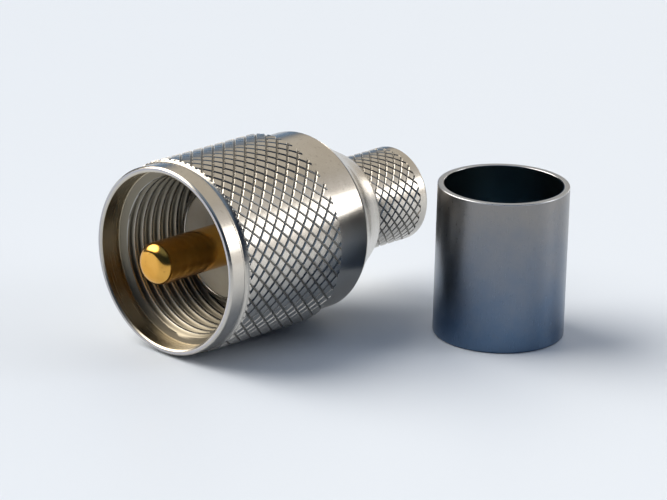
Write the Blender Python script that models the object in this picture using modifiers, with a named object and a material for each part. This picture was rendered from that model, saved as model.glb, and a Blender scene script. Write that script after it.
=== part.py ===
"""A crimp type UHF cable plug lying on its coupling nut, with its crimp ferrule standing beside it.

The origin is on the table, under the middle of the object. The plug's axis is level and runs
along Y: the mouth faces -Y and the cable would leave towards +Y. All sizes are in millimetres.
A place along the plug is called s, measured from the nut's front rim towards the cable.
"""

import math

import bmesh
import bpy
from mathutils import Matrix

MM = 0.001

# Coupling nut
NUT_LENGTH = 17.8
NUT_KNURL_DIAMETER = 18.0
NUT_KNURL_START = 2.25
REAR_BAND_LENGTH = 3.8
NUT_KNURL_STARTS = 40
NUT_KNURL_PITCH = 1.31
NUT_GROOVE_WIDTH = 0.26
NUT_GROOVE_DEPTH = 0.16
FRONT_BAND_STEP = 0.225
FRONT_FILLET_LENGTH = 0.6
REAR_BAND_STEP = 0.575
RIM_CHAMFER = 0.12
RIM_WALL = 0.625
MOUTH_DEPTH = 2.0
THREAD_LEAD_IN = 0.75
THREAD_LENGTH = 6.7
RELIEF_STEP = 0.55
LIP_THICKNESS = 1.8
LIP_CLEARANCE = 0.3
NUT_FLOAT = 2.05

# Front shell: the nose sleeve, the flange that holds the nut, and the shank behind it
BARREL_SPACE = 1.57
NOSE_LENGTH = 4.75
NOSE_WALL = 0.5
NOSE_CHAMFER = 0.15
FLANGE_CLEARANCE = 0.3
FLANGE_THICKNESS = 1.45
FLANGE_STEP = 0.8
SHANK_ENGAGEMENT = 1.9

# Rear shell: the tapered collar and the knurled crimp spigot
COLLAR_STEP = 0.275
COLLAR_FRONT_EDGE = 0.5
COLLAR_SHOULDER = 1.4
COLLAR_LENGTH = 4.2
NUT_RUNNING_GAP = 0.15
CABLE_BORE = 7.4
SPIGOT_WALL = 0.75
SPIGOT_LENGTH = 8.0
SPIGOT_KNURL_RISE = 0.05
SPIGOT_KNURL_SETBACK = 1.1
SPIGOT_END_BAND = 1.0
SPIGOT_KNURL_STARTS = 25
SPIGOT_KNURL_PITCH = 0.98
SPIGOT_GROOVE_WIDTH = 0.2
SPIGOT_GROOVE_DEPTH = 0.12
SPIGOT_END_CHAMFER = 0.12

# Insulator and centre pin
INSULATOR_SHOULDER_LENGTH = 5.5
INSULATOR_TAIL_CLEARANCE = 0.2
INSULATOR_LENGTH = 9.0
PIN_DIAMETER = 3.96
PIN_PROTRUSION = 1.66
PIN_TIP_ROUND = 0.6
PIN_TAIL_LENGTH = 3.2
SOLDER_CUP_WALL = 0.68
SOLDER_CUP_DEPTH = 2.6

# Crimp ferrule, and the gaps it stands at from the nut's side and the spigot's end
BRAID_SPACE = 1.025
FERRULE_WALL = 0.575
FERRULE_HEIGHT = 14.4
FERRULE_EDGE_ROUND = 0.2
FERRULE_GAP = 1.0
FERRULE_BEFORE_END = 2.45

# Fits and facets
FIT_GAP = 0.06
SHELL_FACETS = 48
PIN_FACETS = 32
FERRULE_FACETS = 64
ARC_STEPS = 3
WELD_DISTANCE = 0.000001

# Diameters that follow from the sizes: the nut from its knurl inwards, then what goes in it
FRONT_BAND_DIAMETER = NUT_KNURL_DIAMETER - 2 * FRONT_BAND_STEP
REAR_BAND_DIAMETER = NUT_KNURL_DIAMETER - 2 * REAR_BAND_STEP
MOUTH_BORE = FRONT_BAND_DIAMETER - 2 * RIM_WALL
THREAD_BORE = MOUTH_BORE - 2 * THREAD_LEAD_IN
RELIEF_BORE = THREAD_BORE + 2 * RELIEF_STEP
NOSE_DIAMETER = THREAD_BORE - 2 * BARREL_SPACE
FLANGE_DIAMETER = THREAD_BORE - 2 * FLANGE_CLEARANCE
SHANK_DIAMETER = FLANGE_DIAMETER - 2 * FLANGE_STEP
COLLAR_FRONT_DIAMETER = REAR_BAND_DIAMETER - 2 * COLLAR_STEP
SPIGOT_DIAMETER = CABLE_BORE + 2 * SPIGOT_WALL
SPIGOT_KNURL_DIAMETER = SPIGOT_DIAMETER + 2 * SPIGOT_KNURL_RISE
COLLAR_REAR_DIAMETER = SPIGOT_DIAMETER + 2 * COLLAR_SHOULDER
INSULATOR_TAIL_DIAMETER = CABLE_BORE - 2 * INSULATOR_TAIL_CLEARANCE
SOLDER_CUP_BORE = PIN_DIAMETER - 2 * SOLDER_CUP_WALL
FERRULE_BORE = SPIGOT_KNURL_DIAMETER + 2 * BRAID_SPACE
FERRULE_DIAMETER = FERRULE_BORE + 2 * FERRULE_WALL

# Places along the plug that follow from the sizes
NUT_KNURL_LENGTH = NUT_LENGTH - NUT_KNURL_START - REAR_BAND_LENGTH
NUT_KNURL_END = NUT_KNURL_START + NUT_KNURL_LENGTH
LIP_FRONT = NUT_LENGTH - LIP_THICKNESS
FLANGE_END = LIP_FRONT - NUT_FLOAT
NOSE_END = FLANGE_END - FLANGE_THICKNESS
NOSE_SETBACK = NOSE_END - NOSE_LENGTH
COLLAR_START = NUT_LENGTH + NUT_RUNNING_GAP
COLLAR_END = COLLAR_START + COLLAR_LENGTH
SHANK_END = COLLAR_START + SHANK_ENGAGEMENT
SPIGOT_END = COLLAR_END + SPIGOT_LENGTH
SPIGOT_KNURL_START = COLLAR_END + SPIGOT_KNURL_SETBACK
SPIGOT_KNURL_LENGTH = SPIGOT_LENGTH - SPIGOT_KNURL_SETBACK - SPIGOT_END_BAND
SPIGOT_KNURL_END = SPIGOT_KNURL_START + SPIGOT_KNURL_LENGTH
INSULATOR_END = NOSE_SETBACK + INSULATOR_LENGTH
INSULATOR_SHOULDER = NOSE_SETBACK + INSULATOR_SHOULDER_LENGTH
PIN_END = INSULATOR_END + PIN_TAIL_LENGTH

# Where the plug's axis and the ferrule stand, so that the origin is under the object's middle
FERRULE_ASIDE = NUT_KNURL_DIAMETER / 2 + FERRULE_GAP + FERRULE_DIAMETER / 2
FERRULE_BEHIND = SPIGOT_END - FERRULE_BEFORE_END
LEFT = -NUT_KNURL_DIAMETER / 2
RIGHT = FERRULE_ASIDE + FERRULE_DIAMETER / 2
FRONT = -PIN_PROTRUSION
BACK = max(SPIGOT_END, FERRULE_BEHIND + FERRULE_DIAMETER / 2)
MOUTH_X = -(LEFT + RIGHT) / 2
MOUTH_Y = -(FRONT + BACK) / 2
AXIS_HEIGHT = NUT_KNURL_DIAMETER / 2


def clear_scene():
    """Remove what the file opened with."""
    for item in list(bpy.data.objects):
        bpy.data.objects.remove(item, do_unlink=True)


def surface(name, colour, metallic, roughness):
    """One plain material."""
    material = bpy.data.materials.new(name)
    material.use_nodes = True
    shader = material.node_tree.nodes["Principled BSDF"]
    shader.inputs["Base Color"].default_value = (*colour, 1.0)
    shader.inputs["Metallic"].default_value = metallic
    shader.inputs["Roughness"].default_value = roughness
    return material


def arc(centre, radius, start, end, steps):
    """Points (s, distance from the axis) along a round, with angles in degrees."""
    points = []
    for step in range(steps + 1):
        angle = math.radians(start + (end - start) * step / steps)
        points.append((centre[0] + radius * math.cos(angle), centre[1] + radius * math.sin(angle)))
    return points


def turned(name, outline, facets, material, collection, closed=True):
    """A turned piece about local Z, from points (s, distance from the axis), outer side first."""
    mesh = bpy.data.meshes.new(name)
    points = [(radius * MM, 0.0, -s * MM) for s, radius in outline]
    edges = [(i, i + 1) for i in range(len(points) - 1)]
    if closed:
        edges.append((len(points) - 1, 0))
    mesh.from_pydata(points, edges, [])
    piece = bpy.data.objects.new(name, mesh)
    collection.objects.link(piece)
    piece.data.materials.append(material)
    screw = piece.modifiers.new("Turn", "SCREW")
    screw.axis = "Z"
    screw.angle = math.tau
    screw.steps = facets
    screw.render_steps = facets
    screw.use_merge_vertices = True
    screw.merge_threshold = WELD_DISTANCE
    return piece


def knurl(start, length, diameter, starts, pitch, groove_width, groove_depth):
    """A sleeve of flat topped diamonds, with both of its ends at the bottom of the grooves."""
    ground = (diameter / 2 - groove_depth) * MM
    rows = max(2, round(length / pitch))
    sleeve = bmesh.new()
    bmesh.ops.create_circle(sleeve, segments=starts, radius=ground)
    bmesh.ops.rotate(sleeve, verts=sleeve.verts, matrix=Matrix.Rotation(-math.pi / 2, 3, "Z"))
    bmesh.ops.translate(sleeve, verts=sleeve.verts, vec=(0.0, 0.0, -start * MM))
    ring = sleeve.edges[:]
    for _ in range(rows):
        grown = bmesh.ops.extrude_edge_only(sleeve, edges=ring)["geom"]
        ring = [item for item in grown if isinstance(item, bmesh.types.BMEdge)]
        corners = [item for item in grown if isinstance(item, bmesh.types.BMVert)]
        bmesh.ops.translate(sleeve, verts=corners, vec=(0.0, 0.0, -length * MM / rows))
    upright_grid = [edge for edge in sleeve.edges if not edge.is_boundary]
    bmesh.ops.poke(sleeve, faces=sleeve.faces[:])
    bmesh.ops.dissolve_edges(sleeve, edges=upright_grid, use_verts=False)
    ends = [edge for edge in sleeve.edges if edge.is_boundary]
    bmesh.ops.subdivide_edges(sleeve, edges=ends, cuts=1)
    for corner in sleeve.verts:
        corner.co.xy = corner.co.xy.normalized() * ground
    bmesh.ops.recalc_face_normals(sleeve, faces=sleeve.faces[:])
    if sum(face.normal.xy.dot(face.calc_center_median().xy) for face in sleeve.faces) < 0:
        bmesh.ops.reverse_faces(sleeve, faces=sleeve.faces[:])
    bmesh.ops.inset_individual(
        sleeve,
        faces=sleeve.faces[:],
        thickness=groove_width / 2 * MM,
        depth=groove_depth * MM,
        use_even_offset=True,
    )
    for corner in sleeve.verts:
        if corner.co.xy.length > ground + groove_depth * MM / 2:
            corner.co.xy = corner.co.xy.normalized() * (diameter / 2 * MM)
    mesh = bpy.data.meshes.new("knurl")
    sleeve.to_mesh(mesh)
    sleeve.free()
    return mesh


def weld_knurl(piece, sleeve):
    """Close the gap in a turned piece's outline with a knurled sleeve."""
    graph = bpy.context.evaluated_depsgraph_get()
    whole = bmesh.new()
    whole.from_object(piece, graph)
    whole.from_mesh(sleeve)
    bmesh.ops.remove_doubles(whole, verts=whole.verts, dist=WELD_DISTANCE)
    bmesh.ops.recalc_face_normals(whole, faces=whole.faces[:])
    piece.modifiers.clear()
    whole.to_mesh(piece.data)
    whole.free()
    bpy.data.meshes.remove(sleeve)


def coupling_nut(material, collection):
    """The knurled nut: a threaded mouth, a relief behind the thread, and a lip at the rear."""
    band = FRONT_BAND_DIAMETER / 2
    ground = NUT_KNURL_DIAMETER / 2 - NUT_GROOVE_DEPTH
    rear = REAR_BAND_DIAMETER / 2
    mouth = MOUTH_BORE / 2
    thread = THREAD_BORE / 2
    relief = RELIEF_BORE / 2
    lip = SHANK_DIAMETER / 2 + LIP_CLEARANCE
    fillet_rise = ground - band
    fillet_radius = (FRONT_FILLET_LENGTH**2 + fillet_rise**2) / (2 * fillet_rise)
    fillet_turn = math.degrees(math.asin(FRONT_FILLET_LENGTH / fillet_radius))
    fillet_start = NUT_KNURL_START - FRONT_FILLET_LENGTH
    thread_start = MOUTH_DEPTH + mouth - thread
    outline = [(NUT_KNURL_END, ground), (NUT_KNURL_END, rear)]
    outline += [(NUT_LENGTH - RIM_CHAMFER, rear), (NUT_LENGTH, rear - RIM_CHAMFER)]
    outline += [(NUT_LENGTH, lip), (LIP_FRONT, lip), (LIP_FRONT, relief)]
    outline += [(thread_start + THREAD_LENGTH + relief - thread, relief)]
    outline += [(thread_start + THREAD_LENGTH, thread), (thread_start, thread)]
    outline += [(MOUTH_DEPTH, mouth), (0.0, mouth)]
    outline += [(0.0, band - RIM_CHAMFER), (RIM_CHAMFER, band)]
    fillet_centre = (fillet_start, band + fillet_radius)
    outline += arc(fillet_centre, fillet_radius, -90.0, fillet_turn - 90.0, ARC_STEPS)
    nut = turned("coupling_nut", outline, 2 * NUT_KNURL_STARTS, material, collection, closed=False)
    sleeve = knurl(
        NUT_KNURL_START,
        NUT_KNURL_LENGTH,
        NUT_KNURL_DIAMETER,
        NUT_KNURL_STARTS,
        NUT_KNURL_PITCH,
        NUT_GROOVE_WIDTH,
        NUT_GROOVE_DEPTH,
    )
    weld_knurl(nut, sleeve)
    return nut


def front_shell(material, collection):
    """The nose sleeve with its flange and shank, open right through for the insulator."""
    nose = NOSE_DIAMETER / 2
    flange = FLANGE_DIAMETER / 2
    shank = SHANK_DIAMETER / 2
    bore = nose - NOSE_WALL
    cable = CABLE_BORE / 2
    outline = [(NOSE_SETBACK, nose - NOSE_CHAMFER), (NOSE_SETBACK + NOSE_CHAMFER, nose)]
    outline += [(NOSE_END, nose), (NOSE_END, flange), (FLANGE_END, flange)]
    outline += [(FLANGE_END, shank), (SHANK_END, shank), (SHANK_END, cable)]
    outline += [(INSULATOR_SHOULDER + FIT_GAP, cable), (INSULATOR_SHOULDER + FIT_GAP, bore)]
    outline += [(NOSE_SETBACK, bore)]
    return turned("front_shell", outline, SHELL_FACETS, material, collection)


def rear_shell(material, collection):
    """The tapered collar, pressed on the shank, and the knurled spigot for the cable's braid."""
    collar_front = COLLAR_FRONT_DIAMETER / 2
    collar_rear = COLLAR_REAR_DIAMETER / 2
    spigot = SPIGOT_DIAMETER / 2
    ground = SPIGOT_KNURL_DIAMETER / 2 - SPIGOT_GROOVE_DEPTH
    cable = CABLE_BORE / 2
    socket = SHANK_DIAMETER / 2 + FIT_GAP
    socket_end = SHANK_END + FIT_GAP
    outline = [(SPIGOT_KNURL_END, ground), (SPIGOT_KNURL_END, spigot)]
    outline += [(SPIGOT_END - SPIGOT_END_CHAMFER, spigot), (SPIGOT_END, spigot - SPIGOT_END_CHAMFER)]
    outline += [(SPIGOT_END, cable), (socket_end, cable), (socket_end, socket)]
    outline += [(COLLAR_START, socket), (COLLAR_START, collar_front)]
    outline += [(COLLAR_START + COLLAR_FRONT_EDGE, collar_front), (COLLAR_END, collar_rear)]
    outline += [(COLLAR_END, spigot), (SPIGOT_KNURL_START, spigot), (SPIGOT_KNURL_START, ground)]
    facets = 2 * SPIGOT_KNURL_STARTS
    shell = turned("rear_shell", outline, facets, material, collection, closed=False)
    sleeve = knurl(
        SPIGOT_KNURL_START,
        SPIGOT_KNURL_LENGTH,
        SPIGOT_KNURL_DIAMETER,
        SPIGOT_KNURL_STARTS,
        SPIGOT_KNURL_PITCH,
        SPIGOT_GROOVE_WIDTH,
        SPIGOT_GROOVE_DEPTH,
    )
    weld_knurl(shell, sleeve)
    return shell


def insulator(material, collection):
    """The stepped insulator that fills the nose and carries the pin."""
    head = NOSE_DIAMETER / 2 - NOSE_WALL - FIT_GAP
    tail = INSULATOR_TAIL_DIAMETER / 2
    bore = PIN_DIAMETER / 2 + FIT_GAP
    outline = [(NOSE_SETBACK, head), (INSULATOR_SHOULDER, head), (INSULATOR_SHOULDER, tail)]
    outline += [(INSULATOR_END, tail), (INSULATOR_END, bore), (NOSE_SETBACK, bore)]
    return turned("insulator", outline, SHELL_FACETS, material, collection)


def centre_pin(material, collection):
    """The solid pin, with a rounded tip and a cup for the cable's inner conductor."""
    pin = PIN_DIAMETER / 2
    cup = SOLDER_CUP_BORE / 2
    tip = -PIN_PROTRUSION
    outline = [(tip, 0.0)]
    outline += arc((tip + PIN_TIP_ROUND, pin - PIN_TIP_ROUND), PIN_TIP_ROUND, 180.0, 90.0, ARC_STEPS)
    outline += [(PIN_END, pin), (PIN_END, cup), (PIN_END - SOLDER_CUP_DEPTH, cup)]
    outline += [(PIN_END - SOLDER_CUP_DEPTH, 0.0)]
    return turned("centre_pin", outline, PIN_FACETS, material, collection, closed=False)


def crimp_ferrule(material, collection):
    """The plain tube that is crimped over the braid, standing on its end."""
    outer = FERRULE_DIAMETER / 2
    inner = FERRULE_BORE / 2
    edge = FERRULE_EDGE_ROUND
    outline = arc((edge, outer - edge), edge, 180.0, 90.0, ARC_STEPS)
    outline += [(FERRULE_HEIGHT, outer), (FERRULE_HEIGHT, inner), (0.0, inner)]
    return turned("crimp_ferrule", outline, FERRULE_FACETS, material, collection)


def build():
    """Make every piece and lay the plug on the table beside the ferrule."""
    clear_scene()
    parts = bpy.data.collections.new("uhf_connector")
    bpy.context.scene.collection.children.link(parts)
    nickel = surface("nickel_plate", (0.60, 0.57, 0.52), 1.0, 0.28)
    ferrule_nickel = surface("ferrule_nickel", (0.46, 0.48, 0.50), 1.0, 0.35)
    gold = surface("gold_plate", (0.80, 0.52, 0.16), 1.0, 0.22)
    cream = surface("cream_insulator", (0.62, 0.58, 0.49), 0.0, 0.5)
    axis = bpy.data.objects.new("plug_axis", None)
    parts.objects.link(axis)
    axis.location = (MOUTH_X * MM, MOUTH_Y * MM, AXIS_HEIGHT * MM)
    axis.rotation_euler = (math.pi / 2, 0.0, 0.0)
    plug = [
        coupling_nut(nickel, parts),
        front_shell(nickel, parts),
        rear_shell(nickel, parts),
        insulator(cream, parts),
        centre_pin(gold, parts),
    ]
    for piece in plug:
        piece.parent = axis
    ferrule = crimp_ferrule(ferrule_nickel, parts)
    stand = (MOUTH_X + FERRULE_ASIDE, MOUTH_Y + FERRULE_BEHIND, FERRULE_HEIGHT)
    ferrule.location = [place * MM for place in stand]
    bpy.context.view_layer.update()


build()
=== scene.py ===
"""A crimp type UHF cable plug lying on its coupling nut, with its loose crimp ferrule beside it.

Each piece is turned standing up, in millimetres, with its mouth end down. Its height is then the
place s along the plug, measured from the nut's front rim. Last, it is laid down on the plug's axis.
"""

import math

import bmesh
import bpy
from mathutils import Matrix, Vector


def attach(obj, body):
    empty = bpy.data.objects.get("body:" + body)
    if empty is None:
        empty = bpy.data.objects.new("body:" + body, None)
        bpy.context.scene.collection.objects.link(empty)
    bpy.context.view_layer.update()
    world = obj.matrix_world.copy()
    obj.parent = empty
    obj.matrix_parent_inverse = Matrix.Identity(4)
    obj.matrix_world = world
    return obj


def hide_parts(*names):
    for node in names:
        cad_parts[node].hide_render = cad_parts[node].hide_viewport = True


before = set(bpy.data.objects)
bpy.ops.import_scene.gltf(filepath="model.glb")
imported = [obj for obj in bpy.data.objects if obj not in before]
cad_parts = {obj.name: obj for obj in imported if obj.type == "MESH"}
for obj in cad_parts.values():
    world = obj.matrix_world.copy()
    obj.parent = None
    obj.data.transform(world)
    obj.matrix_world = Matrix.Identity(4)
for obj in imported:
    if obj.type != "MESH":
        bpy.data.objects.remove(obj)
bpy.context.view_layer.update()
bpy.context.scene.view_settings.view_transform = "Standard"

# Camera
# A long lens, a little to the right of the mouth and above it, tipped slightly to one side. Its
# place is measured from the middle of the nut's front rim.
MM = 0.001
MOUTH = Vector((-6.6, -16.07, 9.0))
CAMERA_FROM_MOUTH = Vector((265.4, -255.2, 129.0))
LOOK_DIRECTION = Vector((-0.6533, 0.6827, -0.3273))
CAMERA_ROLL = 0.0287
LENS_PIXELS = 4318.0
PICTURE_WIDTH = 667.0
SENSOR_WIDTH = 36.0

camera = bpy.data.objects.new("camera", bpy.data.cameras.new("camera"))
bpy.context.scene.collection.objects.link(camera)
camera.data.sensor_fit = "HORIZONTAL"
camera.data.sensor_width = SENSOR_WIDTH
camera.data.lens = LENS_PIXELS / PICTURE_WIDTH * SENSOR_WIDTH
camera.data.clip_start = 0.01
camera.data.clip_end = 20.0
aim = LOOK_DIRECTION.to_track_quat("-Z", "Y").to_matrix() @ Matrix.Rotation(CAMERA_ROLL, 3, "Z")
camera.matrix_world = Matrix.Translation((MOUTH + CAMERA_FROM_MOUTH) * MM) @ aim.to_4x4()
bpy.context.scene.camera = camera


# Centre pin
# A solid brass pin, turned with a rounded tip, a flat end and a solder cup, and gold plated.
# It is held by the insulator.
PIN_RADIUS = 1.98
PIN_TIP = -1.66
PIN_TIP_ROUND = 1.0
PIN_TIP_STEPS = 10
PIN_GRIP = 7.6
PIN_END = 19.95
PIN_FACETS = 96
CUP_RADIUS = 1.3
CUP_FLOOR = 17.35
CHAMFER = 0.1
EDGE_HOLD = 0.06
SMOOTH_BELOW = math.radians(30.0)
LEAST_RADIUS = 0.05
CLOUDS_PER_METRE = 340.0
GOLD_LIGHT = (0.74, 0.415, 0.095)
GOLD_DARK = (0.62, 0.32, 0.06)
GOLD_SPECK = (0.45, 0.24, 0.06)
GOLD_ROUGHNESS = (0.12, 0.22)


def start_ring(name, facets, s, radius):
    """The first ring of a turned piece, selected in edit mode."""
    bpy.ops.object.select_all(action="DESELECT")
    bpy.ops.mesh.primitive_circle_add(vertices=facets, radius=radius, location=(0.0, 0.0, s))
    bpy.ops.object.transform_apply(location=True, rotation=False, scale=False)
    piece = bpy.context.object
    piece.name = piece.data.name = name
    bpy.ops.object.mode_set(mode="EDIT")
    bpy.ops.mesh.select_mode(type="VERT")
    bpy.ops.mesh.select_all(action="SELECT")
    return piece


def held(outline):
    """The outline with a point close to both ends of each long run, so that it shades flat."""
    points = [outline[0]]
    for start, end in zip(outline, outline[1:]):
        run = math.dist(start, end)
        if run > 6 * EDGE_HOLD:
            for share in (EDGE_HOLD / run, 1.0 - EDGE_HOLD / run):
                points.append(tuple(a + (b - a) * share for a, b in zip(start, end)))
        points.append(end)
    return points


def turn(outline):
    """Draws the selected ring on along an outline of (place s, radius)."""
    outline = held(outline)
    for (s, radius), (next_s, next_radius) in zip(outline, outline[1:]):
        bpy.ops.mesh.extrude_region_move(TRANSFORM_OT_translate={"value": (0.0, 0.0, next_s - s)})
        grow = next_radius / radius
        bpy.ops.transform.resize(value=(grow, grow, 1.0), center_override=(0.0, 0.0, 0.0))


def rounded(s, radius, size, start, end, steps=4):
    """Outline points round an edge: its centre, its size, and angles in degrees from +s."""
    points = []
    for step in range(steps + 1):
        angle = math.radians(start + (end - start) * step / steps)
        points.append((s + size * math.cos(angle), radius + size * math.sin(angle)))
    return points


def pick_open_edges():
    """Selects every open edge of the piece in edit mode."""
    bpy.ops.mesh.select_all(action="DESELECT")
    bpy.ops.mesh.select_non_manifold(
        extend=False,
        use_wire=False,
        use_boundary=True,
        use_multi_face=False,
        use_non_contiguous=False,
        use_verts=False,
    )


def face_outwards():
    """Turns all faces of the closed piece outwards and leaves edit mode."""
    bpy.ops.mesh.select_all(action="SELECT")
    bpy.ops.mesh.normals_make_consistent(inside=False)
    bpy.ops.object.mode_set(mode="OBJECT")


def close_turned():
    """Joins the first ring of the turned piece to its last."""
    pick_open_edges()
    bpy.ops.mesh.bridge_edge_loops()
    face_outwards()


def set_down(piece, node, body, material, place=MOUTH, lying=True):
    """Puts a piece in the node's place, in metres: laid on the plug's axis, or left standing."""
    if lying:
        piece.rotation_euler = (-math.pi / 2, 0.0, 0.0)
    piece.scale = (MM, MM, MM)
    piece.location = place * MM
    bpy.ops.object.select_all(action="DESELECT")
    piece.select_set(True)
    bpy.context.view_layer.objects.active = piece
    bpy.ops.object.transform_apply(location=True, rotation=True, scale=True)
    bpy.ops.object.shade_smooth_by_angle(angle=SMOOTH_BELOW)
    piece.data.materials.clear()
    piece.data.materials.append(material)
    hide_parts(node)
    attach(piece, body)


def effect(name, inputs, outputs):
    """An empty shader group with its inputs (name, kind, value) and outputs (name, kind)."""
    group = bpy.data.node_groups.new(name, "ShaderNodeTree")
    for label, kind, value in inputs:
        socket = group.interface.new_socket(label, in_out="INPUT", socket_type="NodeSocket" + kind)
        if value is not None:
            socket.default_value = value
    for label, kind in outputs:
        group.interface.new_socket(label, in_out="OUTPUT", socket_type="NodeSocket" + kind)
    return group, group.nodes.new("NodeGroupInput"), group.nodes.new("NodeGroupOutput")


def sum_up(tree, operation, first, second=None, third=None):
    """A Math node on sockets or numbers."""
    node = tree.nodes.new("ShaderNodeMath")
    node.operation = operation
    for socket, value in zip(node.inputs, (first, second, third)):
        if isinstance(value, (int, float)):
            socket.default_value = value
        elif value is not None:
            tree.links.new(value, socket)
    return node.outputs[0]


def between_0_and_1(tree, value):
    """The value, cut off below 0 and above 1."""
    return sum_up(tree, "MINIMUM", sum_up(tree, "MAXIMUM", value, 0.0), 1.0)


def split_place(tree, place):
    """The x, y and z of a place."""
    node = tree.nodes.new("ShaderNodeSeparateXYZ")
    tree.links.new(place, node.inputs[0])
    return node.outputs


def from_axis(tree, x, y):
    """The distance from the Z axis."""
    squared = sum_up(tree, "ADD", sum_up(tree, "MULTIPLY", x, x), sum_up(tree, "MULTIPLY", y, y))
    return sum_up(tree, "SQRT", squared)


def noise(tree, place, scale, detail, roughness=0.5):
    """A noise pattern. Its scale is a number or a socket."""
    node = tree.nodes.new("ShaderNodeTexNoise")
    tree.links.new(place, node.inputs["Vector"])
    if isinstance(scale, float):
        node.inputs["Scale"].default_value = scale
    else:
        tree.links.new(scale, node.inputs["Scale"])
    node.inputs["Detail"].default_value = detail
    node.inputs["Roughness"].default_value = roughness
    return node


def lathe_marks():
    """Fine uneven rings round the Z axis of the place it is given, as turning leaves them."""
    group, source, result = effect(
        "lathe_marks",
        [("Place", "Vector", None), ("Rings per mm", "Float", 10.0), ("Run round", "Float", 1.5)],
        [("Height", "Float"), ("Cloud", "Float")],
    )
    place, rings_per_mm, run_round = source.outputs[:3]
    x, y, z = split_place(group, place)
    radius = sum_up(group, "MAXIMUM", from_axis(group, x, y), LEAST_RADIUS * MM)
    per_metre = sum_up(group, "MULTIPLY", rings_per_mm, 1.0 / MM)
    across = group.nodes.new("ShaderNodeCombineXYZ")
    cosine = sum_up(group, "DIVIDE", x, radius)
    sine = sum_up(group, "DIVIDE", y, radius)
    group.links.new(sum_up(group, "MULTIPLY", radius, per_metre), across.inputs[0])
    group.links.new(sum_up(group, "MULTIPLY", z, per_metre), across.inputs[1])
    group.links.new(sum_up(group, "MULTIPLY", cosine, run_round), across.inputs[2])
    rings = noise(group, across.outputs[0], 1.0, 2.0, 0.6)
    rings.noise_dimensions = "4D"
    group.links.new(sum_up(group, "MULTIPLY", sine, run_round), rings.inputs["W"])
    cloud = noise(group, place, CLOUDS_PER_METRE, 4.0, 0.6)
    group.links.new(rings.outputs["Fac"], result.inputs["Height"])
    group.links.new(cloud.outputs["Fac"], result.inputs["Cloud"])
    return group


def satin_grain():
    """The fine matt grain of a plated or moulded surface, and a few darker specks."""
    group, source, result = effect(
        "satin_grain",
        [("Place", "Vector", None), ("Grains per mm", "Float", 12.0), ("Specks", "Float", 0.5)],
        [("Height", "Float"), ("Speck", "Float")],
    )
    place, grains_per_mm, specks = source.outputs[:3]
    per_metre = sum_up(group, "MULTIPLY", grains_per_mm, 1.0 / MM)
    grain = noise(group, place, per_metre, 2.0)
    spots = noise(group, place, sum_up(group, "MULTIPLY", per_metre, 0.16), 1.0)
    rare = sum_up(group, "MULTIPLY", sum_up(group, "SUBTRACT", spots.outputs["Fac"], 0.66), 9.0)
    speck = sum_up(group, "MULTIPLY", between_0_and_1(group, rare), specks)
    group.links.new(grain.outputs["Fac"], result.inputs["Height"])
    group.links.new(speck, result.inputs["Speck"])
    return group


def radial_zone():
    """A mask that is 1 between two radii round the Z axis and fades out beyond them, in mm."""
    group, source, result = effect(
        "radial_zone",
        [
            ("Place", "Vector", None),
            ("Low", "Float", 0.0),
            ("High", "Float", 1.0),
            ("Fade", "Float", 0.03),
        ],
        [("Mask", "Float")],
    )
    place, low, high, fade = source.outputs[:4]
    x, y, _ = split_place(group, place)
    radius = sum_up(group, "MULTIPLY", from_axis(group, x, y), 1.0 / MM)
    beyond_low = sum_up(group, "SUBTRACT", radius, low)
    below_high = sum_up(group, "SUBTRACT", high, radius)
    nearest = sum_up(group, "MINIMUM", beyond_low, below_high)
    faded = sum_up(group, "ADD", sum_up(group, "DIVIDE", nearest, fade), 1.0)
    group.links.new(between_0_and_1(group, faded), result.inputs["Mask"])
    return group


LATHE_MARKS = lathe_marks()
SATIN_GRAIN = satin_grain()
RADIAL_ZONE = radial_zone()


def blank_material(name, centre, turned_about_y=True):
    """A material and its shader, with the place measured from the piece's own axis, along Z."""
    material = bpy.data.materials.new(name)
    material.use_nodes = True
    tree = material.node_tree
    shader = tree.nodes["Principled BSDF"]
    place = tree.nodes.new("ShaderNodeTexCoord")
    move = tree.nodes.new("ShaderNodeMapping")
    move.vector_type = "POINT"
    move.inputs["Location"].default_value = -centre * MM
    tree.links.new(place.outputs["Object"], move.inputs["Vector"])
    if not turned_about_y:
        return material, tree, shader, move.outputs[0]
    upright = tree.nodes.new("ShaderNodeMapping")
    upright.vector_type = "POINT"
    upright.inputs["Rotation"].default_value = (math.pi / 2, 0.0, 0.0)
    tree.links.new(move.outputs[0], upright.inputs["Vector"])
    return material, tree, shader, upright.outputs[0]


def add_effect(tree, group, place, **values):
    """One use of a shared effect, with its own values."""
    node = tree.nodes.new("ShaderNodeGroup")
    node.node_tree = group
    tree.links.new(place, node.inputs["Place"])
    for label, value in values.items():
        node.inputs[label.replace("_", " ")].default_value = value
    return node


def blend_colours(tree, factor, first, second):
    """A colour between two, each a colour or a socket."""
    node = tree.nodes.new("ShaderNodeMix")
    node.data_type = "RGBA"
    tree.links.new(factor, node.inputs[0])
    for socket, value in ((node.inputs[6], first), (node.inputs[7], second)):
        if isinstance(value, tuple):
            socket.default_value = (*value, 1.0)
        else:
            tree.links.new(value, socket)
    return node.outputs[2]


def spread(tree, value, low, high, to_low, to_high):
    """A value between two limits mapped to two others."""
    node = tree.nodes.new("ShaderNodeMapRange")
    node.inputs["From Min"].default_value = low
    node.inputs["From Max"].default_value = high
    node.inputs["To Min"].default_value = to_low
    node.inputs["To Max"].default_value = to_high
    tree.links.new(value, node.inputs["Value"])
    return node.outputs["Result"]


def raise_surface(tree, height, distance_um, below=None):
    """A bump of so many micrometres, over another one if given."""
    node = tree.nodes.new("ShaderNodeBump")
    node.inputs["Strength"].default_value = 1.0
    node.inputs["Distance"].default_value = distance_um * 1e-6
    tree.links.new(height, node.inputs["Height"])
    if below is not None:
        tree.links.new(below, node.inputs["Normal"])
    return node.outputs[0]


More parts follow.
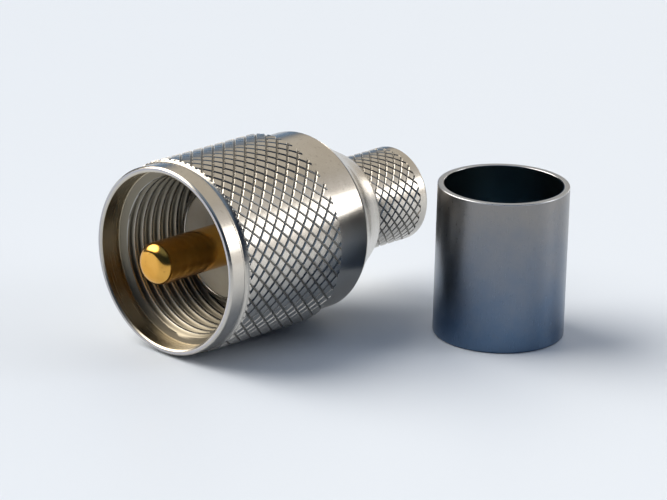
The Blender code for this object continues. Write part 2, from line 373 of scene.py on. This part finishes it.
def finish_surface(tree, shader, colour, rough, marks, marks_um, grain, grain_um):
    """Gives the shader its colour and roughness, and bumps of fine grain over coarser marks."""
    tree.links.new(colour, shader.inputs["Base Color"])
    tree.links.new(rough, shader.inputs["Roughness"])
    marked = raise_surface(tree, marks, marks_um)
    tree.links.new(raise_surface(tree, grain, grain_um, marked), shader.inputs["Normal"])


def gold_plate():
    """Polished gold plate over fine turning rings."""
    material, tree, shader, place = blank_material("gold_plate", MOUTH)
    marks = add_effect(tree, LATHE_MARKS, place, Rings_per_mm=9.0, Run_round=1.2).outputs
    grain = add_effect(tree, SATIN_GRAIN, place, Grains_per_mm=14.0, Specks=0.6).outputs
    tone = spread(tree, marks["Cloud"], 0.35, 0.65, 0.0, 1.0)
    colour = blend_colours(tree, tone, GOLD_LIGHT, GOLD_DARK)
    colour = blend_colours(tree, grain["Speck"], colour, GOLD_SPECK)
    rough = spread(tree, marks["Cloud"], 0.3, 0.7, *GOLD_ROUGHNESS)
    shader.inputs["Metallic"].default_value = 1.0
    finish_surface(tree, shader, colour, rough, marks["Height"], 1.6, grain["Height"], 0.5)
    return material


GOLD = gold_plate()

pin_outline = [(PIN_TIP, PIN_RADIUS - PIN_TIP_ROUND)]
tip_centre = (PIN_TIP + PIN_TIP_ROUND, PIN_RADIUS - PIN_TIP_ROUND)
pin_outline += rounded(*tip_centre, PIN_TIP_ROUND, 180.0, 90.0, PIN_TIP_STEPS)[1:]
pin_outline += [(PIN_GRIP, PIN_RADIUS), (PIN_END - CHAMFER, PIN_RADIUS)]
pin_outline += [(PIN_END, PIN_RADIUS - CHAMFER), (PIN_END, CUP_RADIUS), (CUP_FLOOR, CUP_RADIUS)]
centre_pin = start_ring("centre_pin_gold", PIN_FACETS, *pin_outline[0])
turn(pin_outline)
pick_open_edges()
bpy.ops.mesh.edge_face_add()
face_outwards()
set_down(centre_pin, "centre_pin", "plug", GOLD)


# Insulator
# A stepped bush turned from cream PTFE. It fills the nose, and its front face shows in the mouth
# round the pin.
FACE = 7.75
HEAD_RADIUS = 5.27
SHOULDER = 13.25
TAIL_RADIUS = 3.5
TAIL_CHAMFER = 0.2
INSULATOR_END = 16.75
PIN_HOLE_RADIUS = 2.04
PIN_HOLE_CHAMFER = 0.12
INSULATOR_FACETS = 192
CREAM_LIGHT = (0.62, 0.58, 0.48)
CREAM_DARK = (0.55, 0.50, 0.40)
CREAM_SPECK = (0.40, 0.34, 0.25)
CREAM_ROUGHNESS = (0.42, 0.52)


def cream_ptfe():
    """Turned cream PTFE: waxy, with faint tool rings and a little light inside."""
    material, tree, shader, place = blank_material("cream_insulator", MOUTH)
    marks = add_effect(tree, LATHE_MARKS, place, Rings_per_mm=5.0, Run_round=0.8).outputs
    grain = add_effect(tree, SATIN_GRAIN, place, Grains_per_mm=9.0, Specks=0.25).outputs
    tone = spread(tree, marks["Cloud"], 0.3, 0.7, 0.0, 1.0)
    colour = blend_colours(tree, tone, CREAM_LIGHT, CREAM_DARK)
    colour = blend_colours(tree, grain["Speck"], colour, CREAM_SPECK)
    rough = spread(tree, marks["Height"], 0.3, 0.7, *CREAM_ROUGHNESS)
    shader.inputs["IOR"].default_value = 1.38
    shader.inputs["Subsurface Weight"].default_value = 0.15
    shader.inputs["Subsurface Radius"].default_value = (0.0008, 0.0006, 0.0004)
    shader.inputs["Subsurface Scale"].default_value = 1.0
    finish_surface(tree, shader, colour, rough, marks["Height"], 6.0, grain["Height"], 2.0)
    return material


CREAM = cream_ptfe()

bush_outline = [(FACE + CHAMFER, HEAD_RADIUS), (SHOULDER, HEAD_RADIUS), (SHOULDER, TAIL_RADIUS)]
bush_outline += [(INSULATOR_END - TAIL_CHAMFER, TAIL_RADIUS)]
bush_outline += [(INSULATOR_END, TAIL_RADIUS - TAIL_CHAMFER), (INSULATOR_END, PIN_HOLE_RADIUS)]
bush_outline += [(FACE + PIN_HOLE_CHAMFER, PIN_HOLE_RADIUS)]
bush_outline += [(FACE, PIN_HOLE_RADIUS + PIN_HOLE_CHAMFER), (FACE, HEAD_RADIUS - CHAMFER)]
insulator = start_ring("insulator_cream", INSULATOR_FACETS, *bush_outline[0])
turn(bush_outline)
close_turned()
set_down(insulator, "insulator", "plug", CREAM)


# Front shell
# One brass turning, nickel plated: the nose sleeve round the insulator, the flange that holds the
# nut, and the shank that the rear shell is pressed on.
NOSE_RADIUS = 5.83
NOSE_BORE = 5.31
NOSE_BORE_END = SHOULDER + 0.06
NOSE_END = 12.5
NOSE_CHAMFER_OUTSIDE = 0.15
NOSE_CHAMFER_INSIDE = 0.05
FLANGE_RADIUS = 7.1
FLANGE_END = 13.95
SHANK_RADIUS = 6.3
SHANK_END = 19.85
CABLE_BORE = 3.7
SHELL_FACETS = 240
NICKEL_LIGHT = (0.57, 0.54, 0.49)
NICKEL_DARK = (0.52, 0.485, 0.43)
NICKEL_SPECK = tuple(0.55 * part for part in NICKEL_DARK)
NICKEL_ROUGHNESS = (0.21, 0.26)


def nickel_plate(name, zones=()):
    """Satin nickel plate over turned brass. Each zone is (low and high radius, tint, roughness)."""
    material, tree, shader, place = blank_material(name, MOUTH)
    marks = add_effect(tree, LATHE_MARKS, place, Rings_per_mm=9.0, Run_round=1.5).outputs
    grain = add_effect(tree, SATIN_GRAIN, place, Grains_per_mm=16.0, Specks=0.3).outputs
    tone = spread(tree, marks["Cloud"], 0.32, 0.68, 0.0, 1.0)
    colour = blend_colours(tree, tone, NICKEL_LIGHT, NICKEL_DARK)
    colour = blend_colours(tree, grain["Speck"], colour, NICKEL_SPECK)
    rough = spread(tree, marks["Height"], 0.25, 0.75, *NICKEL_ROUGHNESS)
    for low, high, tint, zone_roughness in zones:
        zone = add_effect(tree, RADIAL_ZONE, place, Low=low, High=high).outputs["Mask"]
        colour = blend_colours(tree, zone, colour, tint)
        extra = zone_roughness - sum(NICKEL_ROUGHNESS) / 2
        rough = sum_up(tree, "MULTIPLY_ADD", zone, extra, rough)
    shader.inputs["Metallic"].default_value = 1.0
    finish_surface(tree, shader, colour, rough, marks["Height"], 0.12, grain["Height"], 0.5)
    return material


NICKEL = nickel_plate("nickel_plate")

shell_outline = [(FACE + NOSE_CHAMFER_OUTSIDE, NOSE_RADIUS), (NOSE_END - CHAMFER, NOSE_RADIUS)]
shell_outline += [(NOSE_END, NOSE_RADIUS + CHAMFER), (NOSE_END, FLANGE_RADIUS - CHAMFER)]
shell_outline += [(NOSE_END + CHAMFER, FLANGE_RADIUS), (FLANGE_END - CHAMFER, FLANGE_RADIUS)]
shell_outline += [(FLANGE_END, FLANGE_RADIUS - CHAMFER), (FLANGE_END, SHANK_RADIUS)]
shell_outline += [(SHANK_END - CHAMFER, SHANK_RADIUS), (SHANK_END, SHANK_RADIUS - CHAMFER)]
shell_outline += [(SHANK_END, CABLE_BORE), (NOSE_BORE_END, CABLE_BORE), (NOSE_BORE_END, NOSE_BORE)]
shell_outline += [(FACE + NOSE_CHAMFER_INSIDE, NOSE_BORE), (FACE, NOSE_BORE + NOSE_CHAMFER_INSIDE)]
shell_outline += [(FACE, NOSE_RADIUS - NOSE_CHAMFER_OUTSIDE)]
front_shell = start_ring("front_shell_nickel", SHELL_FACETS, *shell_outline[0])
turn(shell_outline)
close_turned()
set_down(front_shell, "front_shell", "plug", NICKEL)


# Coupling nut
# Turned from brass, diamond knurled outside, threaded 24 turns to the inch inside the mouth, and
# nickel plated. It turns freely round the front shell, held between its flange and the rear shell.
KNURL_RADIUS = 9.0
KNURL_START = 2.25
KNURL_END = 13.86
KNURL_STARTS = 40
KNURL_PITCH = 1.36
GROOVE_DEPTH = 0.17
GROOVE_HALF = 0.11
CROWN_EDGE = 0.03
FRONT_BAND_RADIUS = 8.78
REAR_BAND_RADIUS = 8.425
NUT_END = 17.8
MOUTH_RADIUS = 8.22
MOUTH_DEPTH = 2.15
THREAD_PITCH = 1.0583
THREAD_CREST = 7.375
THREAD_ROOT = 7.94
THREAD_END = 11.6
THREAD_STEPS = 144
THREAD_TURNS = 11
TOOTH_START = 0.83
TOOTH_STEPS = 16
TOOTH_FULLNESS = 0.1
LEAD_IN_SLOPE = 2.6
RELIEF_RADIUS = 7.95
LIP_FRONT = 16.0
LIP_RADIUS = 6.6
LIP_FILLET = 0.2
SAME_PLACE = 0.0005
CUT_THRESHOLD = 0.00001
WELD_BELOW = 0.002
# Painted light inside and on the nut: painted shade and a painted gold reflection in the mouth,
# painted shade on the thread, a painted bluish reflection on the rim, and painted shade in the
# knurl's grooves.
MOUTH_SHADE_AND_GOLD_REFLECTION = (0.45, 0.395, 0.295)
THREAD_SHADE = (0.20, 0.18, 0.14)
CREST_LIGHTER_SHADE = (0.42, 0.41, 0.38)
RIM_BLUE_REFLECTION = (0.42, 0.42, 0.46)
GROOVE_SHADE = (0.40, 0.385, 0.355)
GROOVE_ROUGHNESS = 0.28


def set_radius(radius, s=None):
    """Moves the selected corners to one radius, and to one place along the axis if given."""
    edit = bmesh.from_edit_mesh(bpy.context.object.data)
    for corner in edit.verts:
        if corner.select:
            corner.co.xy = corner.co.xy.normalized() * radius
            if s is not None:
                corner.co.z = s
    bmesh.update_edit_mesh(bpy.context.object.data)


def pick_ring(s):
    """Selects the open edges at one place along the axis."""
    bpy.ops.mesh.select_mode(type="EDGE")
    bpy.ops.mesh.select_all(action="DESELECT")
    edit = bmesh.from_edit_mesh(bpy.context.object.data)
    for edge in edit.edges:
        here = all(abs(end.co.z - s) < SAME_PLACE for end in edge.verts)
        edge.select = edge.is_boundary and here
    bmesh.update_edit_mesh(bpy.context.object.data)


def turn_from(ring, outline):
    """Draws an open ring, uneven as after a knurl, to an outline's round start and on along it."""
    pick_ring(ring)
    bpy.ops.mesh.extrude_region_move()
    s, radius = outline[0]
    set_radius(radius, s)
    turn(outline)


def trim(front, back):
    """Cuts the piece in edit mode off square at two places along the axis."""
    for place, inner in ((front, True), (back, False)):
        bpy.ops.mesh.select_all(action="SELECT")
        bpy.ops.mesh.bisect(
            plane_co=(0.0, 0.0, place),
            plane_no=(0.0, 0.0, 1.0),
            clear_inner=inner,
            clear_outer=not inner,
            threshold=CUT_THRESHOLD,
        )


def knurled_sleeve(name, radius, depth, starts, pitch, ends, groove_half, crown_edge):
    """A sleeve of flat topped diamonds between crossing V grooves, cut off square at its ends."""
    rows = math.ceil((ends[1] - ends[0]) / pitch) + 2
    first = (ends[0] + ends[1] - rows * pitch) / 2
    piece = start_ring(name, starts, first, radius - depth)
    for _ in range(rows):
        bpy.ops.mesh.extrude_region_move(TRANSFORM_OT_translate={"value": (0.0, 0.0, pitch)})
    bpy.ops.mesh.select_mode(type="FACE")
    bpy.ops.mesh.select_all(action="SELECT")
    bpy.ops.mesh.normals_make_consistent(inside=False)
    bpy.ops.mesh.poke()
    bpy.ops.mesh.select_mode(type="EDGE")
    bpy.ops.mesh.select_all(action="DESELECT")
    edit = bmesh.from_edit_mesh(piece.data)
    for edge in edit.edges:
        low, high = (end.co for end in edge.verts)
        level = abs(low.z - high.z) < pitch * 0.1
        upright = (low.xy - high.xy).length < pitch * 0.1
        edge.select = (level or upright) and not edge.is_boundary
    bmesh.update_edit_mesh(piece.data)
    bpy.ops.mesh.dissolve_edges(use_verts=False, use_face_split=False)
    bpy.ops.mesh.select_mode(type="FACE")
    bpy.ops.mesh.select_all(action="SELECT")
    set_radius(radius - depth)
    bpy.ops.mesh.inset(thickness=groove_half, depth=0.0, use_individual=True)
    set_radius(radius - crown_edge)
    bpy.ops.mesh.inset(thickness=crown_edge, depth=0.0, use_individual=True)
    bpy.ops.mesh.subdivide(number_cuts=2)
    set_radius(radius)
    trim(*ends)
    return piece


def start_corner(name, s, radius):
    """A single corner, selected in edit mode, to draw an outline from."""
    bpy.ops.object.select_all(action="DESELECT")
    bpy.ops.mesh.primitive_plane_add(size=0.1, location=(radius, 0.0, s))
    bpy.ops.object.transform_apply(location=True, rotation=False, scale=False)
    piece = bpy.context.object
    piece.name = piece.data.name = name
    bpy.ops.object.mode_set(mode="EDIT")
    bpy.ops.mesh.select_mode(type="VERT")
    bpy.ops.mesh.select_all(action="SELECT")
    bpy.ops.mesh.merge(type="CENTER")
    return piece


def draw(outline):
    """Draws the selected corner on along an outline of (place s, radius)."""
    for (s, radius), (next_s, next_radius) in zip(outline, outline[1:]):
        step = (next_radius - radius, 0.0, next_s - s)
        bpy.ops.mesh.extrude_region_move(TRANSFORM_OT_translate={"value": step})


# Inside the mouth the plating is painted darker and golden: painted shade and a painted reflection
# of the gold pin. The lead-in and the thread are painted dark as shade, less so on the thread's
# crests. The rim is painted a darker bluish grey as a reflection, and the knurl's grooves are
# painted darker as shade and are duller.
NUT_NICKEL = nickel_plate(
    "nut_nickel",
    zones=[
        (0.0, 8.24, MOUTH_SHADE_AND_GOLD_REFLECTION, 0.26),
        # Painted shade on the lead-in and the thread, lighter on the thread's crests
        (0.0, 8.15, THREAD_SHADE, 0.30),
        (0.0, 7.43, CREST_LIGHTER_SHADE, 0.26),
        # A painted bluish reflection on the flat rim
        (8.46, 8.60, RIM_BLUE_REFLECTION, 0.26),
        # Painted shade in the knurl's grooves, which are also rougher
        (8.82, 8.93, GROOVE_SHADE, GROOVE_ROUGHNESS),
    ],
)

nut = knurled_sleeve(
    "coupling_nut_nickel",
    KNURL_RADIUS,
    GROOVE_DEPTH,
    KNURL_STARTS,
    KNURL_PITCH,
    (KNURL_START, KNURL_END),
    GROOVE_HALF,
    CROWN_EDGE,
)
# Front band: a hollow below the knurl, a plain cylinder, and a chamfer at the rim
front_band = [(KNURL_START - 0.08, 8.90), (2.08, 8.80), (1.98, 8.73), (1.88, 8.69), (1.80, 8.68)]
front_band += [(1.73, 8.69), (1.68, 8.73), (1.64, 8.77), (1.58, FRONT_BAND_RADIUS)]
front_band += [(0.19, FRONT_BAND_RADIUS), (0.15, 8.765), (0.03, 8.66), (0.0, 8.63)]
turn_from(KNURL_START, front_band)
# Rear band: a shoulder behind the knurl, then a plain cylinder with a crisp rear edge
rear_band = [(KNURL_END + 0.04, 8.86), (13.98, 8.60), (14.02, 8.47), (14.07, REAR_BAND_RADIUS)]
rear_band += [(17.74, REAR_BAND_RADIUS), (17.78, 8.41), (NUT_END, 8.37)]
turn_from(KNURL_END, rear_band)
bpy.ops.object.mode_set(mode="OBJECT")

# Thread: one tooth wound round, its first turns cut away by the lead-in cone
tooth = []
for step in range(TOOTH_STEPS + 1):
    rise = math.tanh(math.cos(math.tau * step / TOOTH_STEPS) + TOOTH_FULLNESS)
    swell = 0.5 + 0.5 * rise / math.tanh(1.0 + TOOTH_FULLNESS)
    s = THREAD_PITCH * step / TOOTH_STEPS + TOOTH_START
    tooth.append((s, THREAD_ROOT - (THREAD_ROOT - THREAD_CREST) * swell))
thread = start_corner("nut_thread", *tooth[0])
draw(tooth)
bpy.ops.object.mode_set(mode="OBJECT")
winding = thread.modifiers.new("Wind", "SCREW")
winding.axis = "Z"
winding.steps = winding.render_steps = THREAD_STEPS
winding.screw_offset = THREAD_PITCH
winding.iterations = THREAD_TURNS
winding.use_merge_vertices = False
bpy.ops.object.modifier_apply(modifier="Wind")
bpy.ops.object.mode_set(mode="EDIT")
bpy.ops.mesh.select_mode(type="VERT")
bpy.ops.mesh.select_all(action="SELECT")
bpy.ops.mesh.remove_doubles(threshold=WELD_BELOW)
trim(MOUTH_DEPTH, THREAD_END)
edit = bmesh.from_edit_mesh(thread.data)
for corner in edit.verts:
    lead_in = MOUTH_RADIUS - (corner.co.z - MOUTH_DEPTH) * LEAD_IN_SLOPE
    run_out = RELIEF_RADIUS - (THREAD_END - corner.co.z)
    least = max(lead_in, run_out)
    if corner.co.xy.length < least:
        corner.co.xy = corner.co.xy.normalized() * least
bmesh.update_edit_mesh(thread.data)
pick_ring(MOUTH_DEPTH)
turn([(MOUTH_DEPTH, MOUTH_RADIUS), (0.12, MOUTH_RADIUS), (0.02, 8.36), (0.0, 8.40)])
# Behind the thread: a plain relief, and the lip that the flange stops
relief = [(THREAD_END + 0.02, RELIEF_RADIUS), (LIP_FRONT - LIP_FILLET, RELIEF_RADIUS)]
relief += [(LIP_FRONT, RELIEF_RADIUS - LIP_FILLET), (LIP_FRONT, LIP_RADIUS)]
relief += [(NUT_END - CHAMFER, LIP_RADIUS), (NUT_END, LIP_RADIUS + CHAMFER)]
turn_from(THREAD_END, relief)
bpy.ops.object.mode_set(mode="OBJECT")

# The inside and the outside are joined at the flat rim and the flat rear face
bpy.ops.object.select_all(action="DESELECT")
thread.select_set(True)
nut.select_set(True)
bpy.context.view_layer.objects.active = nut
bpy.ops.object.join()
bpy.ops.object.mode_set(mode="EDIT")
for place in (0.0, NUT_END):
    pick_ring(place)
    bpy.ops.mesh.bridge_edge_loops()
face_outwards()
set_down(nut, "coupling_nut", "nut", NUT_NICKEL)


# Rear shell
# Brass, nickel plated: a tapered collar, pressed on the shank behind the nut, and the knurled
# crimp spigot that goes inside the cable's braid.
COLLAR_START = 17.95
COLLAR_END = 22.6
COLLAR_RADIUS = 8.28
COLLAR_EDGE = 0.05
SPIGOT_RADIUS = 4.45
SPIGOT_KNURL_RADIUS = 4.5
SPIGOT_KNURL_START = 23.25
SPIGOT_KNURL_END = 29.15
SPIGOT_KNURL_STARTS = 25
SPIGOT_KNURL_PITCH = 1.03
SPIGOT_GROOVE_DEPTH = 0.12
SPIGOT_GROOVE_HALF = 0.08
SPIGOT_CROWN_EDGE = 0.025
SPIGOT_END = 30.15
SPIGOT_END_ROUND = 0.22
SOCKET_RADIUS = 6.36
SOCKET_END = 19.91

# The spigot knurl's grooves carry painted shade and are rougher.
REAR_NICKEL = nickel_plate("rear_nickel", zones=[(4.36, 4.455, GROOVE_SHADE, GROOVE_ROUGHNESS)])

rear_shell = knurled_sleeve(
    "rear_shell_nickel",
    SPIGOT_KNURL_RADIUS,
    SPIGOT_GROOVE_DEPTH,
    SPIGOT_KNURL_STARTS,
    SPIGOT_KNURL_PITCH,
    (SPIGOT_KNURL_START, SPIGOT_KNURL_END),
    SPIGOT_GROOVE_HALF,
    SPIGOT_CROWN_EDGE,
)
# From the knurl round the end of the spigot, and inside to the front of the collar
spigot = [(SPIGOT_KNURL_END + 0.03, SPIGOT_KNURL_RADIUS), (SPIGOT_END - 0.25, SPIGOT_KNURL_RADIUS)]
round_centre = (SPIGOT_END - SPIGOT_END_ROUND, SPIGOT_KNURL_RADIUS - SPIGOT_END_ROUND)
spigot += rounded(*round_centre, SPIGOT_END_ROUND, 90.0, 0.0)
spigot += [(SPIGOT_END, CABLE_BORE + CHAMFER), (SPIGOT_END - CHAMFER, CABLE_BORE)]
spigot += [(SOCKET_END, CABLE_BORE), (SOCKET_END, SOCKET_RADIUS)]
spigot += [(COLLAR_START + CHAMFER, SOCKET_RADIUS), (COLLAR_START, SOCKET_RADIUS + CHAMFER)]
spigot += [(COLLAR_START, COLLAR_RADIUS - COLLAR_EDGE), (COLLAR_START + COLLAR_EDGE, COLLAR_RADIUS)]
turn_from(SPIGOT_KNURL_END, spigot)
# From the knurl forward, over the small step, up the hollow taper of the collar
collar = [(SPIGOT_KNURL_START - 0.03, SPIGOT_RADIUS), (COLLAR_END + 0.06, SPIGOT_RADIUS)]
collar += [(COLLAR_END, SPIGOT_RADIUS + 0.06), (COLLAR_END, 5.42), (COLLAR_END - 0.06, 5.52)]
collar += [(22.2, 5.72), (21.8, 5.93), (21.4, 6.14), (21.0, 6.35), (20.6, 6.57), (20.2, 6.80)]
collar += [(19.9, 6.98), (19.6, 7.17), (19.3, 7.38), (19.0, 7.60), (18.7, 7.81), (18.4, 8.01)]
collar += [(18.1, 8.21)]
turn_from(SPIGOT_KNURL_START, collar)
close_turned()
set_down(rear_shell, "rear_shell", "plug", REAR_NICKEL)


# Crimp ferrule
# A plain drawn brass tube, dull nickel plated, cut square with its lower edge rounded. It stands
# loose beside the plug until it is slid over the braid and crimped.
FERRULE_CENTRE = Vector((9.5, 11.63, 0.0))
FERRULE_RADIUS = 6.1
FERRULE_BORE = 5.525
FERRULE_HEIGHT = 14.4
FERRULE_FACETS = 240
FOOT_ROUND = 0.2
RIM_ROUND_OUTSIDE = 0.08
RIM_ROUND_INSIDE = 0.06
# Painted light on the ferrule: a painted blue reflection and painted shade towards the foot, a
# painted bluish reflection in the bore, and a painted highlight on the cut rim.
FOOT_BLUE_REFLECTION = (0.10, 0.155, 0.24)
DULL_GREY = (0.26, 0.25, 0.24)
FERRULE_SPECK = (0.12, 0.13, 0.14)
BORE_BLUE_REFLECTION = (0.33, 0.42, 0.46)
CUT_RIM_HIGHLIGHT = (0.55, 0.57, 0.60)
FERRULE_ROUGHNESS = (0.27, 0.31)
LINES_PER_METRE = (14000.0, 14000.0, 1500.0)


def drawn_nickel():
    """Dull nickel on drawn tube: fine lines down its length, and a smoother bore painted with a
    bluish reflection. The cut rim is painted light as a highlight.

    A cloudy painted blue reflection with painted shade grows darker and bluer towards the foot.
    """
    material, tree, shader, place = blank_material("ferrule_nickel", FERRULE_CENTRE, False)
    grain = add_effect(tree, SATIN_GRAIN, place, Grains_per_mm=14.0, Specks=0.15).outputs
    cloud = add_effect(tree, LATHE_MARKS, place).outputs["Cloud"]
    stretch = tree.nodes.new("ShaderNodeVectorMath")
    stretch.operation = "MULTIPLY"
    stretch.inputs[1].default_value = LINES_PER_METRE
    tree.links.new(place, stretch.inputs[0])
    lines = noise(tree, stretch.outputs["Vector"], 1.0, 3.0).outputs["Fac"]
    bore = add_effect(tree, RADIAL_ZONE, place, Low=0.0, High=FERRULE_BORE + 0.075).outputs["Mask"]
    height = split_place(tree, place)[2]
    # The painted blue reflection and shade fade out upwards from the foot, in clouds
    reflection_fade = sum_up(tree, "MULTIPLY_ADD", cloud, 0.5, sum_up(tree, "MULTIPLY", height, 70.0))
    tone = spread(tree, reflection_fade, 0.35, 1.25, 0.0, 1.0)
    colour = blend_colours(tree, tone, FOOT_BLUE_REFLECTION, DULL_GREY)
    colour = blend_colours(tree, grain["Speck"], colour, FERRULE_SPECK)
    # A painted bluish reflection in the bore
    colour = blend_colours(tree, bore, colour, BORE_BLUE_REFLECTION)
    # A painted highlight along the cut rim
    top = FERRULE_HEIGHT * MM
    cut = spread(tree, height, top - 0.12 * MM, top - 0.08 * MM, 0.0, 1.0)
    colour = blend_colours(tree, cut, colour, CUT_RIM_HIGHLIGHT)
    rough = spread(tree, lines, 0.3, 0.7, *FERRULE_ROUGHNESS)
    rough = sum_up(tree, "MULTIPLY_ADD", bore, -0.15, rough)
    shader.inputs["Metallic"].default_value = 1.0
    finish_surface(tree, shader, colour, rough, lines, 0.12, grain["Height"], 1.2)
    return material


DULL_NICKEL = drawn_nickel()

tube = rounded(FOOT_ROUND, FERRULE_RADIUS - FOOT_ROUND, FOOT_ROUND, 180.0, 90.0)
tube += [(FERRULE_HEIGHT - CHAMFER, FERRULE_RADIUS)]
rim_centre = (FERRULE_HEIGHT - RIM_ROUND_OUTSIDE, FERRULE_RADIUS - RIM_ROUND_OUTSIDE)
tube += rounded(*rim_centre, RIM_ROUND_OUTSIDE, 90.0, 0.0)
rim_centre = (FERRULE_HEIGHT - RIM_ROUND_INSIDE, FERRULE_BORE + RIM_ROUND_INSIDE)
tube += rounded(*rim_centre, RIM_ROUND_INSIDE, 0.0, -90.0)
tube += [(CHAMFER, FERRULE_BORE), (0.0, FERRULE_BORE + CHAMFER)]
ferrule = start_ring("crimp_ferrule_nickel", FERRULE_FACETS, *tube[0])
turn(tube)
close_turned()
set_down(
    ferrule, "crimp_ferrule", "plug", DULL_NICKEL, FERRULE_CENTRE, lying=False
)


# Table and light
# A plain pale matt table, far wider than the picture. The light is soft and all of it comes from
# the sky: a main lamp at the front left, a window at the back right, and a beige wall behind.
TABLE_SIZE = 6.0
TABLE_COLOUR = (0.71, 0.775, 0.87, 1.0)
LOW_SKY = (0.02, 0.035, 0.065)
HIGH_SKY = (0.20, 0.28, 0.40)
BEIGE_WALL = (0.72, 0.67, 0.59)

bpy.ops.object.select_all(action="DESELECT")
bpy.ops.mesh.primitive_plane_add(size=TABLE_SIZE, location=(0.0, 0.0, 0.0))
table = bpy.context.object
table.name = "table"
paper = bpy.data.materials.new("table_paper")
paper.use_nodes = True
paper_shader = paper.node_tree.nodes["Principled BSDF"]
paper_shader.inputs["Base Color"].default_value = TABLE_COLOUR
paper_shader.inputs["Roughness"].default_value = 0.45
paper_shader.inputs["Specular IOR Level"].default_value = 0.3
table.data.materials.append(paper)

world = bpy.data.worlds.new("studio")
bpy.context.scene.world = world
world.use_nodes = True
sky = world.node_tree
sky_light = sky.nodes["Background"]
direction = sky.nodes.new("ShaderNodeTexCoord").outputs["Generated"]
upward = split_place(sky, direction)[2]


def soft_step(value, low, high):
    """A mask that rises smoothly from 0 to 1 between two values."""
    node = sky.nodes.new("ShaderNodeMapRange")
    node.interpolation_type = "SMOOTHSTEP"
    node.inputs["From Min"].default_value = low
    node.inputs["From Max"].default_value = high
    sky.links.new(value, node.inputs["Value"])
    return node.outputs["Result"]


def patch(azimuth, elevation, inner, outer):
    """A soft round mask on the sky, in degrees. The azimuth runs from the back to the right."""
    level_part = math.cos(math.radians(elevation))
    toward = (
        math.sin(math.radians(azimuth)) * level_part,
        math.cos(math.radians(azimuth)) * level_part,
        math.sin(math.radians(elevation)),
    )
    dot = sky.nodes.new("ShaderNodeVectorMath")
    dot.operation = "DOT_PRODUCT"
    sky.links.new(direction, dot.inputs[0])
    dot.inputs[1].default_value = toward
    near, far = math.cos(math.radians(inner)), math.cos(math.radians(outer))
    return soft_step(dot.outputs["Value"], far, near)


def level(low, high):
    """A mask that rises from 0 to 1 between two elevations in degrees."""
    low, high = math.sin(math.radians(low)), math.sin(math.radians(high))
    return soft_step(upward, low, high)


# Each later light lies over the ones before it: azimuth, elevation, full within, gone beyond
LIGHTS = [
    # The foot of the wall, a blue shade at its left end, and a bright strip along it
    ((-20.0, 5.0, 9.0, 20.0), (0.66, 0.61, 0.54)),
    ((-51.0, 2.0, 6.0, 15.0), (0.14, 0.27, 0.46)),
    ((-7.0, 0.0, 5.0, 11.0), (5.0, 4.8, 4.5)),
    # The light walls round and below the window, and the window
    ((45.0, 31.0, 12.0, 28.0), (0.85, 0.82, 0.79)),
    ((48.0, 5.0, 7.0, 16.0), (1.15, 1.12, 1.1)),
    ((45.0, 21.5, 6.0, 12.0), (6.0, 5.9, 5.8)),
    # The main lamp
    ((-120.0, 42.0, 16.0, 35.0), (6.6, 6.15, 5.5)),
]

light = blend_colours(sky, level(36.0, 68.0), LOW_SKY, HIGH_SKY)
wall = sum_up(sky, "MULTIPLY", patch(-16.0, 35.0, 22.0, 46.0), level(8.0, 22.0))
light = blend_colours(sky, wall, light, BEIGE_WALL)
for where, colour in LIGHTS:
    light = blend_colours(sky, patch(*where), light, colour)
sky.links.new(light, sky_light.inputs["Color"])
sky_light.inputs["Strength"].default_value = 1.0
